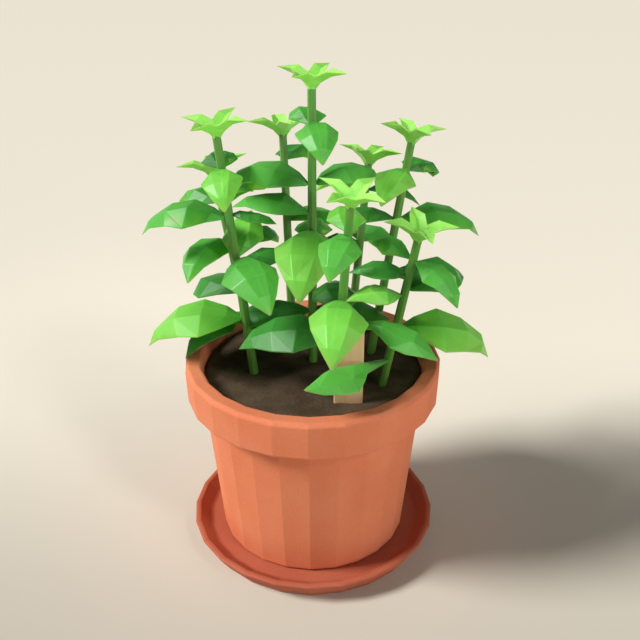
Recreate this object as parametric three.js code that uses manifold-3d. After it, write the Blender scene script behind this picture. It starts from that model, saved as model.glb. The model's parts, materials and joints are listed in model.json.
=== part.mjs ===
// A basil plant growing in a round terracotta pot that stands on its saucer.
// Millimetres, +Z up. The origin is the middle of the saucer's flat underside.
import * as THREE from 'three';
import { mergeVertices } from 'three/addons/utils/BufferGeometryUtils.js';
import Module from 'manifold-3d';

const wasm = await Module();
wasm.setup();

// ---- driving dimensions ----
const POT_SIDES = 24; // flats round the pot, the saucer and the soil
const FLATS_TURN = -1.4; // degrees that the first edge of the flats is turned from the front
const RIM_RADIUS = 70;
const RIM_TOP = 115;
const RIM_LOW = 93.5; // underside of the thick rim band
const RIM_INNER = 61;
const BODY_TOP_RADIUS = 60.7; // body just below the rim band
const BODY_FOOT_RADIUS = 53;
const POT_WALL = 7;
const DRAIN_RADIUS = 6;
const SAUCER_RADIUS = 71;
const SAUCER_FOOT_RADIUS = 64.3;
const SAUCER_HEIGHT = 12.3;
const SAUCER_FLOOR = 7;
const SAUCER_WALL = 4;
const SOIL_TOP = 108.5;
const CLEAR = 0.3; // gap kept between pieces that touch
const LABEL = { width: 15, thick: 2, height: 50, x: 18.5, y: -38, buried: 16 };
const STEM_SIDES = 8;
const STEM_FOOT_RADIUS = 2.5;
const STEM_TOP_RADIUS = 2.1;
const ROOT_DEPTH = 14; // how far a stem goes down into the soil

// ---- the leaf ----
// Width of a leaf at stations from its foot to its tip, as shares of its length and half width.
const LEAF_STATIONS = [0, 0.12, 0.32, 0.55, 0.78];
const LEAF_WIDTHS = [0.12, 0.58, 1, 0.86, 0.5];
const STALK_END_WIDTH = 0.3; // where a bare stalk meets its blade
const PANEL_SHARE = 0.42; // half width of the flat middle panel
const PANEL_FOLD = 36; // degrees that the two outer panels bend down
const LEAF_THICK = 1.2;
const LEAF_EDGE_THICK = 0.7;
const CRINKLE = 0.9; // how far a corner may stand off the smooth blade
const BUD_STATIONS = [0, 0.3, 0.6];
const BUD_WIDTHS = [0.3, 0.95, 0.85];
const BUD_HEART = { foot: 2, top: 2.8, height: 5 }; // closed heart that the leaflets stand on
const BUD = { length: 23, width: 9, rise: 60, droop: 66, fold: -32 };

// ---- the plant: foot and top of each stem, turn of its tip, and its leaves from the top down ----
// A leaf is [height share, turn, length, rise, droop, tint, sweep, share that is bare stalk].
// Turn is counter-clockwise from +X. The leaf sets out at the rise angle and has bent down by the
// droop and round by the sweep when it reaches its tip.
const STEMS = {
  centre: {
    foot: [0, 5], top: [0, 5, 259], tip: -28,
    leaves: [
      [0.89, -80, 37, 30, 110, 'mid'], [0.88, 100, 34, 40, 100, 'mid'],
      [0.68, 165, 54, 48, 114, 'mid'], [0.68, 27, 45, 49, 112, 'mid'],
      [0.58, 174, 44, 46, 90, 'mid'], [0.48, 88, 36, 35, 95, 'mid'],
      [0.52, -98, 57, 30, 118, 'light'], [0.22, 2, 44, 20, 66, 'dark'],
      [0.21, 182, 50, 20, 60, 'dark'],
    ],
  },
  left: {
    foot: [-32, -8], top: [-45, -12, 240], tip: -28,
    leaves: [
      [0.88, -85, 35, 31, 108, 'light'], [0.88, 100, 32, 35, 90, 'dark'],
      [0.69, 170, 55, 44, 112, 'mid'], [0.7, 2, 23, 8, 60, 'dark'],
      [0.52, -66, 50, 29, 94, 'mid'], [0.52, 80, 40, 50, 70, 'light'],
      [0.26, 177, 64, 39, 110, 'light'],
    ],
  },
  back_left: {
    foot: [-34, 20], top: [-52, 30, 207], tip: 5,
    leaves: [
      [0.86, 128, 46, 42, 104, 'mid'], [0.9, -20, 20, 38, 80, 'mid'],
      [0.62, 242, 50, 51, 123, 'mid'], [0.6, 60, 50, 34, 104, 'dark'],
      [0.22, 216, 46, 26, 88, 'dark'], [0.34, 128, 58, 36, 104, 'dark'],
    ],
  },
  back: {
    foot: [-12, 33], top: [-16, 45, 225], tip: 15,
    leaves: [
      [0.89, 70, 42, 34, 94, 'dark'], [0.8, 195, 36, 28, 100, 'light'],
      [0.6, 40, 50, 26, 95, 'mid'], [0.46, 222, 40, 26, 84, 'dark'],
    ],
  },
  back_right: {
    foot: [22, 38], top: [31, 54, 206], tip: -28,
    leaves: [
      [0.86, 136, 42, 35, 98, 'light'], [0.86, 10, 36, 32, 95, 'dark'],
      [0.56, 70, 52, 36, 106, 'mid'], [0.56, 200, 34, 28, 90, 'dark'],
    ],
  },
  right: {
    foot: [33, 15], top: [51, 23, 227], tip: 20,
    leaves: [
      [0.88, -114, 38, 28, 108, 'light'], [0.88, 55, 38, 38, 106, 'dark'],
      [0.66, 14, 56, 44, 106, 'mid'], [0.66, 168, 36, 25, 90, 'dark'],
      [0.4, 8, 46, 34, 92, 'dark'],
    ],
  },
  front_right: {
    foot: [37, -21], top: [51, -29, 194], tip: 10,
    leaves: [
      [0.88, -40, 36, 30, 112, 'mid'], [0.88, 135, 30, 34, 88, 'mid'],
      [0.78, 178, 30, 30, 80, 'dark'], [0.65, 200, 32, 36, 84, 'light'],
      [0.68, 46, 54, 44, 108, 'dark'],
      [0.42, 8, 64, 40, 114, 'light'], [0.2, 242, 62, 29, 54, 'mid', -40, 0.4],
    ],
  },
  front: {
    foot: [12, -26], top: [18, -37, 214], tip: -38,
    leaves: [
      [0.87, -106, 36, 34, 106, 'mid'], [0.87, 92, 34, 36, 92, 'light'],
      [0.53, -97, 50, 37, 114, 'light'], [0.46, 98, 44, 25, 80, 'dark'],
      [0.32, 172, 60, 32, 102, 'dark'], [0.38, -18, 55, 34, 88, 'mid', 0, 0.27],
    ],
  },
};

// ---- colours and finishes ----
const finish = (color, roughness) => new THREE.MeshStandardMaterial({ color, roughness, metalness: 0 });
const FINISHES = {
  pot: finish('#d97b55', 0.75),
  saucer: finish('#b4573a', 0.75),
  soil: finish('#3d3126', 0.95),
  label: finish('#cdb080', 0.7),
  stem: finish('#4f8a38', 0.55),
  light: finish('#73c84b', 0.5),
  mid: finish('#4aa53c', 0.5),
  dark: finish('#2f7d2c', 0.5),
};

const radians = THREE.MathUtils.degToRad;

// ---- solids ----
function toManifold(geometry) {
  const bare = geometry.index ? geometry.toNonIndexed() : geometry.clone();
  bare.deleteAttribute('normal');
  bare.deleteAttribute('uv');
  const welded = mergeVertices(bare, 1e-4);
  return new wasm.Manifold(new wasm.Mesh({
    numProp: 3,
    vertProperties: new Float32Array(welded.attributes.position.array),
    triVerts: new Uint32Array(welded.index.array),
  }));
}

function fromManifold(solid) {
  const mesh = solid.getMesh();
  const geometry = new THREE.BufferGeometry();
  geometry.setAttribute('position', new THREE.BufferAttribute(mesh.vertProperties, 3));
  geometry.setIndex(new THREE.BufferAttribute(mesh.triVerts, 1));
  return geometry;
}

// A shape turned about Z with flat sides, from [radius, height] points listed anticlockwise.
function turned(points, sides = POT_SIDES) {
  const outline = points.map(([radius, height]) => new THREE.Vector2(radius, height));
  const geometry = new THREE.LatheGeometry(outline, sides, radians(FLATS_TURN), 2 * Math.PI);
  return geometry.rotateX(Math.PI / 2);
}

function potGeometry() {
  const floor = SAUCER_FLOOR + CLEAR;
  const inside = floor + POT_WALL + 1;
  const points = [
    [DRAIN_RADIUS, floor],
    [BODY_FOOT_RADIUS - 1, floor],
    [BODY_FOOT_RADIUS, floor + 1.2],
    [BODY_TOP_RADIUS, RIM_LOW],
    [RIM_RADIUS - 1.4, RIM_LOW],
    [RIM_RADIUS - 0.6, RIM_LOW + 1],
    [RIM_RADIUS, RIM_TOP - 2],
    [RIM_RADIUS - 1.6, RIM_TOP],
    [RIM_INNER + 1.2, RIM_TOP],
    [RIM_INNER, RIM_TOP - 1.2],
    [RIM_INNER - 0.8, RIM_TOP - 11],
    [BODY_TOP_RADIUS - POT_WALL + 0.5, RIM_LOW - 5],
    [BODY_FOOT_RADIUS - POT_WALL + 0.5, inside],
    [DRAIN_RADIUS, inside],
  ];
  return turned([...points, points[0]]);
}

function saucerGeometry() {
  return turned([
    [0, 0],
    [SAUCER_FOOT_RADIUS - 0.8, 0],
    [SAUCER_FOOT_RADIUS, 0.8],
    [SAUCER_RADIUS, SAUCER_HEIGHT - 1],
    [SAUCER_RADIUS - 1, SAUCER_HEIGHT],
    [SAUCER_RADIUS - SAUCER_WALL + 0.8, SAUCER_HEIGHT],
    [SAUCER_RADIUS - SAUCER_WALL, SAUCER_HEIGHT - 0.8],
    [SAUCER_FOOT_RADIUS - SAUCER_WALL + 1.5, SAUCER_FLOOR + 0.4],
    [SAUCER_FOOT_RADIUS - SAUCER_WALL, SAUCER_FLOOR],
    [0, SAUCER_FLOOR],
  ]);
}

// The soil fills the pot and has a slot for the label and a hole for each stem.
function soilGeometry() {
  const floor = SAUCER_FLOOR + POT_WALL + 1 + 2 * CLEAR;
  let soil = toManifold(turned([
    [0, floor],
    [BODY_FOOT_RADIUS - POT_WALL + 0.2, floor],
    [BODY_TOP_RADIUS - POT_WALL + 0.1, RIM_LOW - 5],
    [RIM_INNER - 1.2, RIM_TOP - 11],
    [RIM_INNER - 1.1, SOIL_TOP - 1.8],
    [RIM_INNER - 3.2, SOIL_TOP],
    [0, SOIL_TOP],
  ]));
  soil = soil.subtract(toManifold(labelGeometry(CLEAR)));
  for (const stem of Object.values(STEMS)) {
    const hole = new THREE.CylinderGeometry(
      STEM_FOOT_RADIUS + 0.5, STEM_FOOT_RADIUS + 0.5, 2 * (ROOT_DEPTH + 0.5), STEM_SIDES);
    hole.rotateX(Math.PI / 2).applyQuaternion(leanOf(stem));
    hole.translate(...stem.foot, SOIL_TOP);
    soil = soil.subtract(toManifold(hole));
  }
  return fromManifold(soil);
}

// A plain flat upright stick with bevelled corners. grow widens it on every side.
function labelGeometry(grow = 0) {
  const half = LABEL.width / 2 + grow;
  const top = LABEL.height;
  const low = -LABEL.buried - grow;
  const corner = 2.5;
  const outline = new THREE.Shape([
    [-half, low], [half, low], [half, top - corner], [half - corner, top],
    [-half + corner, top], [-half, top - corner],
  ].map(([x, y]) => new THREE.Vector2(x, y)));
  const bevel = 0.5;
  const geometry = new THREE.ExtrudeGeometry(outline, {
    depth: LABEL.thick - 2 * bevel + 2 * grow,
    bevelThickness: bevel, bevelSize: bevel, bevelOffset: -bevel, bevelSegments: 1,
  });
  geometry.translate(0, 0, bevel - LABEL.thick / 2 - grow);
  geometry.rotateX(Math.PI / 2);
  return geometry.translate(LABEL.x, LABEL.y, SOIL_TOP);
}

// ---- leaves ----
// Repeatable small offsets between -1 and 1, so that no two leaves have the same facets.
function wobbles(seed) {
  let state = seed * 7919 + 17;
  return () => {
    state = (state * 48271) % 2147483647;
    return (state / 2147483647) * 2 - 1;
  };
}

// Lofts closed rings of corners into one solid that ends in a point.
function loft(rings, point) {
  const corners = rings.flat();
  const around = rings[0].length;
  const faces = [];
  for (let ring = 0; ring < rings.length - 1; ring++) {
    for (let k = 0; k < around; k++) {
      const a = ring * around + k;
      const b = ring * around + ((k + 1) % around);
      const c = a + around;
      const d = b + around;
      if ((ring + k) % 2) faces.push(a, d, b, a, c, d);
      else faces.push(a, c, b, b, c, d);
    }
  }
  for (let k = 2; k < around; k++) faces.push(0, k - 1, k);
  const last = (rings.length - 1) * around;
  for (let k = 0; k < around; k++) {
    faces.push(last + ((k + 1) % around), last + k, corners.length);
  }
  const geometry = new THREE.BufferGeometry();
  geometry.setFromPoints([...corners, point]);
  geometry.setIndex(faces);
  return geometry;
}

// A blade that starts beside the Z axis, runs out along +X, rises and then bends down to its tip.
// Across it are the shares of half width in lanes, each with how far it is folded down.
function bladeGeometry(blade, lanes, stations, widths, start, seed) {
  const { length, width, rise, droop, sweep = 0, crinkle = 0 } = blade;
  const offset = wobbles(seed);
  const rings = [];
  const spine = new THREE.Vector3(start, 0, 0);
  let travelled = 0;
  const heading = (share) => {
    const pitch = radians(rise - droop * share);
    const turn = radians(sweep * share);
    return new THREE.Vector3(
      Math.cos(pitch) * Math.cos(turn), Math.cos(pitch) * Math.sin(turn), Math.sin(pitch));
  };
  const advance = (share) => {
    const steps = 4;
    for (let i = 0; i < steps; i++) {
      const middle = travelled + ((share - travelled) * (i + 0.5)) / steps;
      spine.addScaledVector(heading(middle), (length * (share - travelled)) / steps);
    }
    travelled = share;
  };
  stations.forEach((share, index) => {
    advance(share);
    const along = heading(share);
    const side = new THREE.Vector3(-Math.sin(radians(sweep * share)), Math.cos(radians(sweep * share)), 0);
    const up = new THREE.Vector3().crossVectors(along, side);
    const half = (width / 2) * widths[index];
    const upper = [];
    const lower = [];
    for (const [lane, fold] of lanes) {
      const lift = index ? crinkle * offset() : 0;
      const corner = spine.clone().addScaledVector(side, lane * half);
      corner.addScaledVector(up, lift - fold * half);
      const thick = Math.abs(lane) === 1 ? LEAF_EDGE_THICK : LEAF_THICK;
      upper.push(corner);
      lower.unshift(corner.clone().addScaledVector(up, -thick));
    }
    rings.push([...upper, ...lower]);
  });
  advance(1);
  return loft(rings, spine);
}

function leafGeometry([, , length, rise, droop, , sweep = 0, stalk = 0], seed) {
  const drop = (1 - PANEL_SHARE) * Math.tan(radians(PANEL_FOLD));
  const lanes = [[-1, drop], [-PANEL_SHARE, 0], [PANEL_SHARE, 0], [1, drop]];
  const blade = { length, width: 0.6 * length * (1 - stalk) - 1, rise, droop, sweep, crinkle: CRINKLE };
  const stations = LEAF_STATIONS.map((share) => stalk + share * (1 - stalk));
  const widths = [...LEAF_WIDTHS];
  if (stalk) {
    stations.unshift(0);
    widths.splice(0, 1, LEAF_WIDTHS[0], STALK_END_WIDTH);
  }
  return bladeGeometry(blade, lanes, stations, widths, STEM_FOOT_RADIUS + CLEAR, seed);
}

// ---- stems ----
function leanOf({ foot, top }) {
  const axis = new THREE.Vector3(top[0] - foot[0], top[1] - foot[1], top[2] - SOIL_TOP).normalize();
  return new THREE.Quaternion().setFromUnitVectors(new THREE.Vector3(0, 0, 1), axis);
}

// A stem and the four young leaflets that it ends in have grown as one piece.
function stemGeometry(length, tipTurn, seed) {
  const stalk = new THREE.CylinderGeometry(
    STEM_TOP_RADIUS, STEM_FOOT_RADIUS, length + ROOT_DEPTH, STEM_SIDES);
  stalk.rotateX(Math.PI / 2).translate(0, 0, (length - ROOT_DEPTH) / 2);
  let stem = toManifold(stalk);
  const heart = new THREE.CylinderGeometry(BUD_HEART.top, BUD_HEART.foot, BUD_HEART.height, STEM_SIDES);
  heart.rotateX(Math.PI / 2).translate(0, 0, length + BUD_HEART.height / 2 - 1);
  stem = stem.add(toManifold(heart));
  const lift = Math.tan(radians(BUD.fold));
  const lanes = [[-1, lift], [0, 0], [1, lift]];
  for (let k = 0; k < 4; k++) {
    const leaflet = bladeGeometry({ ...BUD, crinkle: 0.3 }, lanes, BUD_STATIONS, BUD_WIDTHS, 0, seed + k);
    leaflet.translate(0, 0, length - 1.5).rotateZ(radians(tipTurn + 90 * k));
    stem = stem.add(toManifold(leaflet));
  }
  return fromManifold(stem);
}

// ---- assembly ----
const plant = new THREE.Group();

function addPiece(parent, name, geometry, material) {
  const mesh = new THREE.Mesh(geometry, material);
  mesh.name = name;
  parent.add(mesh);
}

addPiece(plant, 'saucer', saucerGeometry(), FINISHES.saucer);
addPiece(plant, 'pot', potGeometry(), FINISHES.pot);
addPiece(plant, 'soil', soilGeometry(), FINISHES.soil);
addPiece(plant, 'plant_label', labelGeometry(), FINISHES.label);

Object.entries(STEMS).forEach(([name, stem], stemIndex) => {
  const group = new THREE.Group();
  const foot = new THREE.Vector3(...stem.foot, SOIL_TOP);
  const length = foot.distanceTo(new THREE.Vector3(...stem.top));
  group.position.copy(foot);
  group.quaternion.copy(leanOf(stem));
  addPiece(group, `stem_${name}`, stemGeometry(length, stem.tip, 100 + 10 * stemIndex), FINISHES.stem);
  stem.leaves.forEach((leaf, leafIndex) => {
    const [share, turn, , , , tint] = leaf;
    const holder = new THREE.Group();
    holder.position.z = share * length;
    holder.rotation.z = radians(turn);
    addPiece(holder, `leaf_${name}_${leafIndex + 1}`, leafGeometry(leaf, 10 * stemIndex + leafIndex + 1),
      FINISHES[tint]);
    group.add(holder);
  });
  plant.add(group);
});

export default plant;
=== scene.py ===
import json
import math
import random

import bpy
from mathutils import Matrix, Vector, noise


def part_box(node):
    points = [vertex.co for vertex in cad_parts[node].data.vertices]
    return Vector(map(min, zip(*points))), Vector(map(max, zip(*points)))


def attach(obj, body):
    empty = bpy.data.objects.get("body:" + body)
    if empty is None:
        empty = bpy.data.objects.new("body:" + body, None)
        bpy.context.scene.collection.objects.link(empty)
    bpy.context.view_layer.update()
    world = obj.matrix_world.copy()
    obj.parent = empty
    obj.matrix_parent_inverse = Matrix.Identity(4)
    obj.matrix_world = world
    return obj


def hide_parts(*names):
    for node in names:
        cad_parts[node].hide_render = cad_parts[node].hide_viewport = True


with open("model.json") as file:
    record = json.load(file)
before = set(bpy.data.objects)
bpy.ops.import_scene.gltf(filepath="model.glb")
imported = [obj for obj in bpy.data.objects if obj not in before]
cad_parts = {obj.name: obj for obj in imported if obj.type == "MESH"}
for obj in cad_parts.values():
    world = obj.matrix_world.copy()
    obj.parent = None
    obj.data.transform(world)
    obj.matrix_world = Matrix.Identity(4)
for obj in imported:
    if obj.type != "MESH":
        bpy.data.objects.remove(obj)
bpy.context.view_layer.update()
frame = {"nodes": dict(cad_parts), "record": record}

# ---- camera and studio, in metres and degrees ----
AIM = Vector((0.004, 0.0, 0.136))
CAMERA_DISTANCE = 0.474
CAMERA_ELEVATION = 27.3
LENS_MM = 49.45
FLOOR_SIZE = 12.0
KEY_AZIMUTH = 188.0  # the key light comes from the left and a little in front
KEY_ELEVATION = 38.0
KEY_SPREAD = 18.0
KEY_STRENGTH = 3.9
FILL_STRENGTH = 0.15
SIDE_AZIMUTH = -46.0  # a low soft light lifts the side that faces away from the key
SIDE_ELEVATION = 8.0
SIDE_DISTANCE = 1.2
SIDE_POWER = 4.6
SIDE_SIZE = 0.4
SPOT_AIM = Vector((0.01, 0.0, 0.185))  # the middle of the leaves
SPOT_AZIMUTH = -50.0  # a narrow soft spot brightens the leaves and leaves the floor's shadow dark
SPOT_ELEVATION = 40.0
SPOT_DISTANCE = 1.0
SPOT_POWER = 17.0
SPOT_CONE = 17.0
SPOT_SOFTNESS = 0.12
SKY_COLOUR = (0.97, 0.99, 1.0, 1.0)
FLOOR_NEAR_Y = -0.14  # painted shade: the floor's colour is darker near the camera and grows paler from here to its far place
FLOOR_FAR_Y = 0.24

# ---- colours, as linear red, green and blue ----


def tone(hex_colour):
    """A screen colour such as 'd97b55' as linear red, green, blue and alpha."""
    parts = [int(hex_colour[i:i + 2], 16) / 255 for i in (0, 2, 4)]
    linear = [c / 12.92 if c <= 0.04045 else ((c + 0.055) / 1.055) ** 2.4 for c in parts]
    return (*linear, 1.0)


FLOOR_FAR = tone("f7eedb")
# painted shade: the floor colour near the camera is darker
FLOOR_NEAR_PAINTED_SHADE = tone("cbc4b4")
CLAY = tone("da7b54")
CLAY_PALE = tone("eb9c76")
CLAY_DEEP = tone("bd5f3c")
SAUCER_CLAY = tone("b05c42")
SAUCER_PALE = tone("c67656")
SAUCER_DEEP = tone("8e3a22")
SOIL_DARK = tone("463829")
SOIL_LIGHT = tone("625040")
WOOD = tone("dcbc8c")
WOOD_DARK = tone("c09a68")
STEM_GREEN = tone("4f9433")
STEM_OLIVE = tone("6b8f3a")
TIP_LIME = tone("a8f070")
TIP_FOOT = tone("8ee052")
LEAF_TONES = {
    "leaf_light": (tone("78c648"), tone("58a838")),
    "leaf_mid": (tone("56aa40"), tone("3a862e")),
    "leaf_dark": (tone("38872e"), tone("296a22")),
}


# ---- small tools ----
def only(piece):
    """Makes this the one selected, active object."""
    bpy.ops.object.select_all(action="DESELECT")
    piece.select_set(True)
    bpy.context.view_layer.objects.active = piece


def copy_node(node, name):
    """A welded copy of a CAD node's mesh, as a new piece in the same place."""
    piece = bpy.data.objects.new(name, frame["nodes"][node].data.copy())
    piece.data.name = name
    piece.data.materials.clear()
    bpy.context.scene.collection.objects.link(piece)
    only(piece)
    bpy.ops.object.mode_set(mode="EDIT")
    bpy.ops.mesh.select_all(action="SELECT")
    bpy.ops.mesh.remove_doubles(threshold=1e-5)
    bpy.ops.mesh.customdata_custom_splitnormals_clear()
    bpy.ops.object.mode_set(mode="OBJECT")
    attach(piece, "root")
    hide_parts(node)
    return piece


def join_flat_faces(piece, degrees=1.0):
    """Joins triangles that lie in one plane, so that a bevel only finds real edges."""
    only(piece)
    bpy.ops.object.mode_set(mode="EDIT")
    bpy.ops.mesh.select_all(action="SELECT")
    bpy.ops.mesh.dissolve_limited(angle_limit=math.radians(degrees))
    bpy.ops.object.mode_set(mode="OBJECT")


def soften_edges(piece, width, segments=2, degrees=12.0):
    """Rounds every edge sharper than the angle by a narrow bevel."""
    only(piece)
    bevel = piece.modifiers.new("soft_edges", "BEVEL")
    bevel.width = width
    bevel.segments = segments
    bevel.limit_method = "ANGLE"
    bevel.angle_limit = math.radians(degrees)
    bpy.ops.object.modifier_apply(modifier=bevel.name)


def middle(points):
    return sum(points, Vector()) / len(points)


# ---- shader groups: effects that several materials use ----
def new_group(name, inputs, outputs):
    group = bpy.data.node_groups.new(name, "ShaderNodeTree")
    for label, kind, value in inputs:
        socket = group.interface.new_socket(label, in_out="INPUT", socket_type=f"NodeSocket{kind}")
        if value is not None:
            socket.default_value = value
    for label, kind in outputs:
        group.interface.new_socket(label, in_out="OUTPUT", socket_type=f"NodeSocket{kind}")
    entry = group.nodes.new("NodeGroupInput")
    leave = group.nodes.new("NodeGroupOutput")
    return group, entry, leave


def math_node(tree, operation, first, second=None):
    node = tree.nodes.new("ShaderNodeMath")
    node.operation = operation
    for index, value in enumerate((first, second)):
        if value is None:
            continue
        if isinstance(value, (int, float)):
            node.inputs[index].default_value = value
        else:
            tree.links.new(value, node.inputs[index])
    return node.outputs[0]


def ramp_between(tree, value, low, high):
    """0 below low, 1 above high and smooth between them."""
    node = tree.nodes.new("ShaderNodeMapRange")
    node.interpolation_type = "SMOOTHSTEP"
    tree.links.new(value, node.inputs["Value"])
    node.inputs["From Min"].default_value = low
    node.inputs["From Max"].default_value = high
    return node.outputs["Result"]


def mix_colour(tree, share, first, second):
    node = tree.nodes.new("ShaderNodeMix")
    node.data_type = "RGBA"
    for index, value in ((0, share), (6, first), (7, second)):
        socket = node.inputs[index]
        if isinstance(value, (int, float, tuple)):
            socket.default_value = value
        else:
            tree.links.new(value, socket)
    return node.outputs[2]


def mottle_group():
    """Slow patches and fine grain on one surface, from its own place in space."""
    group, entry, leave = new_group(
        "mottled_surface",
        [
            ("Vector", "Vector", None),
            ("Patch Scale", "Float", 30.0),
            ("Grain Scale", "Float", 900.0),
        ],
        [("Patches", "Float"), ("Grain", "Float")],
    )
    for scale_name, out_name in (("Patch Scale", "Patches"), ("Grain Scale", "Grain")):
        node = group.nodes.new("ShaderNodeTexNoise")
        node.inputs["Detail"].default_value = 4.0
        group.links.new(entry.outputs["Vector"], node.inputs["Vector"])
        group.links.new(entry.outputs[scale_name], node.inputs["Scale"])
        smooth = ramp_between(group, node.outputs["Fac"], 0.3, 0.7)
        group.links.new(smooth, leave.inputs[out_name])
    return group


def vein_group():
    """Veins of a leaf from its own map: across it on X, along it on Y."""
    group, entry, leave = new_group(
        "leaf_veins",
        [("UV", "Vector", None), ("Pairs", "Float", 6.0)],
        [("Midrib", "Float"), ("Side Veins", "Float"), ("Along", "Float")],
    )
    parts = group.nodes.new("ShaderNodeSeparateXYZ")
    group.links.new(entry.outputs["UV"], parts.inputs[0])
    centred = math_node(group, "SUBTRACT", parts.outputs["X"], 0.5)
    off_middle = math_node(group, "ABSOLUTE", centred)
    midrib = math_node(group, "SUBTRACT", 1.0, ramp_between(group, off_middle, 0.012, 0.04))
    sweep = math_node(group, "MULTIPLY", off_middle, 0.55)
    swept = math_node(group, "SUBTRACT", parts.outputs["Y"], sweep)
    counted = math_node(group, "MULTIPLY", swept, entry.outputs["Pairs"])
    repeated = math_node(group, "FRACT", counted)
    off_vein = math_node(group, "ABSOLUTE", math_node(group, "SUBTRACT", repeated, 0.5))
    vein = math_node(group, "SUBTRACT", 1.0, ramp_between(group, off_vein, 0.02, 0.10))
    fade = math_node(group, "SUBTRACT", 1.0, ramp_between(group, off_middle, 0.2, 0.45))
    group.links.new(midrib, leave.inputs["Midrib"])
    group.links.new(math_node(group, "MULTIPLY", vein, fade), leave.inputs["Side Veins"])
    group.links.new(parts.outputs["Y"], leave.inputs["Along"])
    return group


MOTTLE = mottle_group()
VEINS = vein_group()


# ---- materials ----
def new_material(name, roughness, specular=0.4):
    material = bpy.data.materials.new(name)
    material.use_nodes = True
    shader = material.node_tree.nodes["Principled BSDF"]
    shader.inputs["Roughness"].default_value = roughness
    shader.inputs["Specular IOR Level"].default_value = specular
    return material, material.node_tree, shader


def object_place(tree):
    return tree.nodes.new("ShaderNodeTexCoord").outputs["Object"]


def mottled(tree, patch_scale, grain_scale, vector=None):
    node = tree.nodes.new("ShaderNodeGroup")
    node.node_tree = MOTTLE
    tree.links.new(vector or object_place(tree), node.inputs["Vector"])
    node.inputs["Patch Scale"].default_value = patch_scale
    node.inputs["Grain Scale"].default_value = grain_scale
    return node.outputs["Patches"], node.outputs["Grain"]


def bump(tree, shader, height, distance, strength=1.0):
    node = tree.nodes.new("ShaderNodeBump")
    node.inputs["Distance"].default_value = distance
    node.inputs["Strength"].default_value = strength
    tree.links.new(height, node.inputs["Height"])
    tree.links.new(node.outputs["Normal"], shader.inputs["Normal"])


def fired_clay(name, body, pale, deep):
    """Unglazed clay: soft mottling and fine pores."""
    material, tree, shader = new_material(name, 0.72, 0.25)
    patches, grain = mottled(tree, 28.0, 900.0)
    paler = mix_colour(tree, math_node(tree, "MULTIPLY", patches, 0.28), body, pale)
    colour = mix_colour(tree, math_node(tree, "MULTIPLY", grain, 0.10), paler, deep)
    tree.links.new(colour, shader.inputs["Base Color"])
    tree.links.new(math_node(tree, "ADD", math_node(tree, "MULTIPLY", grain, 0.12), 0.66),
                   shader.inputs["Roughness"])
    bump(tree, shader, grain, 0.00012, 0.5)
    return material


def potting_soil():
    material, tree, shader = new_material("potting_soil", 0.95, 0.15)
    patches, grain = mottled(tree, 90.0, 520.0)
    colour = mix_colour(tree, math_node(tree, "MULTIPLY", patches, 0.7), SOIL_DARK, SOIL_LIGHT)
    colour = mix_colour(tree, math_node(tree, "MULTIPLY", grain, 0.25), colour, SOIL_DARK)
    tree.links.new(colour, shader.inputs["Base Color"])
    bump(tree, shader, grain, 0.0003, 0.5)
    return material


def bare_wood():
    """Straight grain that runs up the stick."""
    material, tree, shader = new_material("bare_wood", 0.6, 0.3)
    stretch = tree.nodes.new("ShaderNodeMapping")
    stretch.inputs["Scale"].default_value = (1.0, 1.0, 0.06)
    tree.links.new(object_place(tree), stretch.inputs["Vector"])
    patches, grain = mottled(tree, 260.0, 1500.0, stretch.outputs["Vector"])
    colour = mix_colour(tree, math_node(tree, "MULTIPLY", patches, 0.4), WOOD, WOOD_DARK)
    colour = mix_colour(tree, math_node(tree, "MULTIPLY", grain, 0.15), colour, WOOD_DARK)
    tree.links.new(colour, shader.inputs["Base Color"])
    bump(tree, shader, patches, 0.0001, 0.5)
    return material


def green_tissue(name, body, second, roughness=0.45):
    """Stalk or young tip: mottled softly, a little waxy."""
    material, tree, shader = new_material(name, roughness, 0.45)
    patches, grain = mottled(tree, 70.0, 1200.0)
    colour = mix_colour(tree, math_node(tree, "MULTIPLY", patches, 0.6), body, second)
    tree.links.new(colour, shader.inputs["Base Color"])
    shader.inputs["Subsurface Weight"].default_value = 0.4
    shader.inputs["Subsurface Radius"].default_value = (0.7, 1.0, 0.3)
    shader.inputs["Subsurface Scale"].default_value = 0.003
    bump(tree, shader, grain, 0.00005, 0.4)
    return material


def leaf_blade(name, body, foot):
    """Waxy blade: darker towards its foot, paler midrib and faint side veins, one tone a facet, and
    a few facets paler as painted glint highlights.
    """
    material, tree, shader = new_material(name, 0.44, 0.38)
    place = tree.nodes.new("ShaderNodeUVMap")
    place.uv_map = "blade"
    veins = tree.nodes.new("ShaderNodeGroup")
    veins.node_tree = VEINS
    veins.inputs["Pairs"].default_value = 6.0
    tree.links.new(place.outputs["UV"], veins.inputs["UV"])
    facet = tree.nodes.new("ShaderNodeAttribute")
    facet.attribute_name = "facet_tone_and_painted_glint"
    grown = ramp_between(tree, veins.outputs["Along"], 0.0, 0.55)
    colour = mix_colour(tree, grown, foot, body)
    pale = tuple(min(1.0, c * 1.5 + 0.03) for c in body[:3]) + (1.0,)
    for vein, share in (("Midrib", 0.08), ("Side Veins", 0.05)):
        paleness = math_node(tree, "MULTIPLY", veins.outputs[vein], share)
        colour = mix_colour(tree, paleness, colour, pale)
    # the facet tone mixes in random paler tones and the paler painted glint highlights
    colour = mix_colour(tree, facet.outputs["Fac"], colour, pale)
    tree.links.new(colour, shader.inputs["Base Color"])
    shader.inputs["Subsurface Weight"].default_value = 0.85
    shader.inputs["Subsurface Radius"].default_value = (0.7, 1.0, 0.3)
    shader.inputs["Subsurface Scale"].default_value = 0.004
    raised = math_node(tree, "ADD", veins.outputs["Midrib"],
                       math_node(tree, "MULTIPLY", veins.outputs["Side Veins"], 0.5))
    bump(tree, shader, raised, 0.00015, 0.35)
    return material


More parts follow.
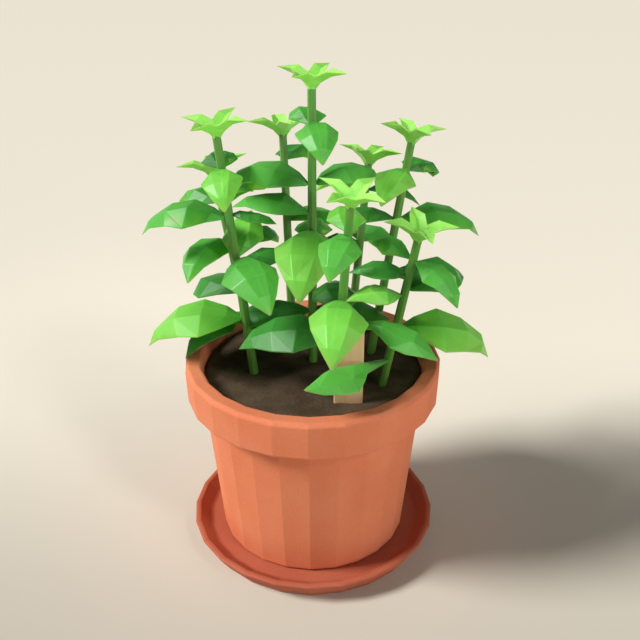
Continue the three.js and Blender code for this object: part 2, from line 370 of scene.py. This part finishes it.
# ---- pot, saucer, soil and label ----
HARD_EDGE = 20.0  # edges sharper than this many degrees are rounded on pot, saucer, label and stems
POT_EDGE = 0.0007
SAUCER_EDGE = 0.0006
LABEL_EDGE = 0.0004


def build_pot():
    pot = copy_node("pot", "terracotta_pot")
    join_flat_faces(pot)
    soften_edges(pot, POT_EDGE, 2, HARD_EDGE)
    pot.data.materials.append(fired_clay("terracotta", CLAY, CLAY_PALE, CLAY_DEEP))


def build_saucer():
    saucer = copy_node("saucer", "terracotta_saucer")
    join_flat_faces(saucer)
    soften_edges(saucer, SAUCER_EDGE, 2, HARD_EDGE)
    saucer.data.materials.append(fired_clay("saucer_clay", SAUCER_CLAY, SAUCER_PALE, SAUCER_DEEP))


SOIL_RINGS = 26
SOIL_SIDES = 96
SOIL_SKIRT = 0.012  # height of the disc's side
SOIL_SHOULDER = 0.002  # the side stops this far below the top
SOIL_STEP = 0.0016  # rise over the shoulder
SOIL_GAP = 0.0002  # kept clear of the pot's wall and under the CAD's top
SOIL_ROUGH = 0.0004
SOIL_CRUMB_DEPTH = 0.004  # only corners this near the top are roughened


def build_soil():
    """A crumbly disc with a rounded shoulder that dips where it meets the pot's wall."""
    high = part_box("soil")[1]
    radius = high.x
    bpy.ops.object.select_all(action="DESELECT")
    bpy.ops.mesh.primitive_circle_add(
        vertices=SOIL_SIDES, radius=radius - SOIL_GAP, location=(0, 0, high.z - SOIL_SKIRT))
    soil = bpy.context.active_object
    soil.name = "crumbly_soil"
    bpy.ops.object.mode_set(mode="EDIT")
    bpy.ops.mesh.select_all(action="SELECT")
    rise = (0, 0, SOIL_SKIRT - SOIL_SHOULDER)
    bpy.ops.mesh.extrude_edges_move(TRANSFORM_OT_translate={"value": rise})
    reach = radius
    for ring in range(SOIL_RINGS):
        inner = radius * (1 - (ring + 1) / (SOIL_RINGS + 1))
        bpy.ops.mesh.extrude_edges_move()
        bpy.ops.transform.resize(value=(inner / reach, inner / reach, 1), center_override=(0, 0, 0))
        if ring == 0:
            bpy.ops.transform.translate(value=(0, 0, SOIL_STEP))
        reach = inner
    bpy.ops.mesh.edge_face_add()
    bpy.ops.mesh.select_all(action="SELECT")
    bpy.ops.mesh.normals_make_consistent(inside=False)
    bpy.ops.object.mode_set(mode="OBJECT")
    bpy.ops.object.transform_apply(location=True, rotation=True, scale=True)
    for vertex in soil.data.vertices:
        if vertex.co.z < high.z - SOIL_CRUMB_DEPTH:
            continue
        lump = noise.noise(vertex.co * 90) * 0.8 + noise.noise(vertex.co * 420) * 0.7
        vertex.co.z += SOIL_ROUGH * lump - SOIL_GAP
    bpy.ops.object.shade_smooth()
    soil.data.materials.append(potting_soil())
    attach(soil, "root")
    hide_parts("soil")


def build_label():
    label = copy_node("plant_label", "wooden_label")
    join_flat_faces(label)
    soften_edges(label, LABEL_EDGE, 3, HARD_EDGE)
    label.data.materials.append(bare_wood())


# ---- stems and leaves ----
TIP_REACH = 0.0135  # the young leaflets spread this far above the head of their stalk
TIP_START = 0.004  # faces that reach this far above the head are lime
STEM_EDGE = 0.00025
LEAF_EDGE = 0.0003
SOFT_EDGE = 10.0  # edges of a leaf sharper than this many degrees are rounded
FOOT_BAND = 0.0016  # corners this much farther out than the nearest one belong to a leaf's foot
FOOT_REACH = 0.0028  # corners this near the foot move in to meet the stem
FOOT_PUSH = 0.0012
FACET_SPREAD = 0.14  # how much paler one facet may be than the next
PAINTED_GLINT_SHARE = 0.05  # share of a leaf's facets that get a painted glint, a paler tone painted where a highlight would fall
# how much paler a painted glint facet is: a painted highlight
PAINTED_GLINT_TONE = 0.22
STEM_FINISHES = [
    green_tissue("stalk_green", STEM_GREEN, STEM_OLIVE),
    green_tissue("tip_lime", TIP_LIME, TIP_FOOT, 0.4),
]


def build_stem(node):
    stem = copy_node(node, node.replace("stem", "stalk"))
    for material in STEM_FINISHES:
        stem.data.materials.append(material)
    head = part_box(node)[1].z - TIP_REACH
    for face in stem.data.polygons:
        if max(stem.data.vertices[i].co.z for i in face.vertices) > head + TIP_START:
            face.material_index = 1
    soften_edges(stem, STEM_EDGE, 1, HARD_EDGE)


def stem_axis(node):
    low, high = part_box(node)
    mesh = frame["nodes"][node].data
    foot = middle([v.co for v in mesh.vertices if v.co.z < low.z + 0.002])
    head = middle([v.co for v in mesh.vertices if v.co.z > high.z - 0.025])
    return foot, (head - foot).normalized()


def from_axis(point, axis):
    foot, along = axis
    offset = point - foot
    return (offset - along * offset.dot(along)).length


def leaf_ends(piece, axis):
    """The foot of a leaf beside its stem, and its tip, the corner farthest from that."""
    corners = [v.co.copy() for v in piece.data.vertices]
    nearest = min(from_axis(corner, axis) for corner in corners)
    foot = middle([c for c in corners if from_axis(c, axis) < nearest + FOOT_BAND])
    tip = max(corners, key=lambda corner: (corner - foot).length)
    return foot, tip


def map_blade(piece, foot, tip):
    """A map that runs across the blade on X and from foot to tip on Y."""
    chord = tip - foot
    side = chord.cross(Vector((0, 0, 1))).normalized()
    half = max(abs((v.co - foot).dot(side)) for v in piece.data.vertices)
    layer = piece.data.uv_layers.new(name="blade")
    for loop in piece.data.loops:
        place = piece.data.vertices[loop.vertex_index].co - foot
        layer.data[loop.index].uv = (
            0.5 + 0.5 * place.dot(side) / half, place.dot(chord) / chord.length_squared)


def seat_foot(piece, foot, axis):
    """Moves the corners of a leaf's foot in until they meet the stem that it grew from."""
    root, along = axis
    offset = foot - root
    inward = (along * offset.dot(along) - offset).normalized()
    for vertex in piece.data.vertices:
        if (vertex.co - foot).length < FOOT_REACH:
            vertex.co += inward * FOOT_PUSH


def build_leaf(node, finish, draw):
    leaf = copy_node(node, "basil_" + node)
    axis = stem_axis("stem_" + node[len("leaf_"):].rsplit("_", 1)[0])
    foot, tip = leaf_ends(leaf, axis)
    map_blade(leaf, foot, tip)
    facets = leaf.data.attributes.new("facet_tone_and_painted_glint", "FLOAT", "FACE")
    for face in leaf.data.polygons:
        # a few facets get a painted glint: a paler tone painted where a highlight would be
        painted_glint = PAINTED_GLINT_TONE if draw.random() < PAINTED_GLINT_SHARE else 0.0
        facets.data[face.index].value = draw.uniform(0.0, FACET_SPREAD) + painted_glint
    seat_foot(leaf, foot, axis)
    soften_edges(leaf, LEAF_EDGE, 1, SOFT_EDGE)
    leaf.data.materials.append(finish)


def build_plant():
    finishes = {name: leaf_blade(name, *tones) for name, tones in LEAF_TONES.items()}
    slots = {part["node"]: part["material_slot"] for part in frame["record"]["subparts"]}
    draw = random.Random(7)
    for node in sorted(frame["nodes"]):
        if node.startswith("stem_"):
            build_stem(node)
        elif node.startswith("leaf_"):
            build_leaf(node, finishes[slots[node]], draw)


# ---- studio ----
def build_floor():
    bpy.ops.object.select_all(action="DESELECT")
    bpy.ops.mesh.primitive_plane_add(size=FLOOR_SIZE)
    floor = bpy.context.active_object
    floor.name = "studio_floor"
    material, tree, shader = new_material("studio_floor", 0.9, 0.1)
    parts = tree.nodes.new("ShaderNodeSeparateXYZ")
    tree.links.new(object_place(tree), parts.inputs[0])
    # painted shade: the floor is darker near the camera and paler far away
    away = ramp_between(tree, parts.outputs["Y"], FLOOR_NEAR_Y, FLOOR_FAR_Y)
    tree.links.new(mix_colour(tree, away, FLOOR_NEAR_PAINTED_SHADE, FLOOR_FAR), shader.inputs["Base Color"])
    floor.data.materials.append(material)


def on_sphere(centre, azimuth, elevation, distance):
    a, e = math.radians(azimuth), math.radians(elevation)
    outward = Vector((math.cos(a) * math.cos(e), math.sin(a) * math.cos(e), math.sin(e)))
    return centre + distance * outward


def face_to(item, target):
    item.rotation_euler = (target - item.location).to_track_quat("-Z", "Y").to_euler()


def hang_light(light, centre, azimuth, elevation, distance):
    """Puts a light on a sphere round the centre, facing it."""
    lamp = bpy.data.objects.new(light.name, light)
    lamp.location = on_sphere(centre, azimuth, elevation, distance)
    face_to(lamp, centre)
    bpy.context.scene.collection.objects.link(lamp)


def build_lights():
    key = bpy.data.lights.new("key_light", "SUN")
    key.energy = KEY_STRENGTH
    key.angle = math.radians(KEY_SPREAD)
    hang_light(key, AIM, KEY_AZIMUTH, KEY_ELEVATION, 1.0)
    side = bpy.data.lights.new("side_light", "AREA")
    side.energy = SIDE_POWER
    side.size = SIDE_SIZE
    hang_light(side, AIM, SIDE_AZIMUTH, SIDE_ELEVATION, SIDE_DISTANCE)
    spot = bpy.data.lights.new("leaf_spot", "SPOT")
    spot.energy = SPOT_POWER
    spot.spot_size = math.radians(SPOT_CONE)
    spot.spot_blend = 1.0
    spot.shadow_soft_size = SPOT_SOFTNESS
    hang_light(spot, SPOT_AIM, SPOT_AZIMUTH, SPOT_ELEVATION, SPOT_DISTANCE)


def build_sky():
    world = bpy.data.worlds.new("studio_light")
    world.use_nodes = True
    sky = world.node_tree.nodes["Background"]
    sky.inputs["Color"].default_value = SKY_COLOUR
    sky.inputs["Strength"].default_value = FILL_STRENGTH
    bpy.context.scene.world = world


def build_camera():
    lens = bpy.data.cameras.new("camera")
    lens.lens = LENS_MM
    camera = bpy.data.objects.new("camera", lens)
    camera.location = on_sphere(AIM, -90.0, CAMERA_ELEVATION, CAMERA_DISTANCE)
    face_to(camera, AIM)
    bpy.context.scene.collection.objects.link(camera)
    bpy.context.scene.camera = camera


bpy.context.scene.view_settings.view_transform = "Standard"
build_camera()
build_lights()
build_sky()
build_floor()
build_pot()
build_saucer()
build_soil()
build_label()
build_plant()
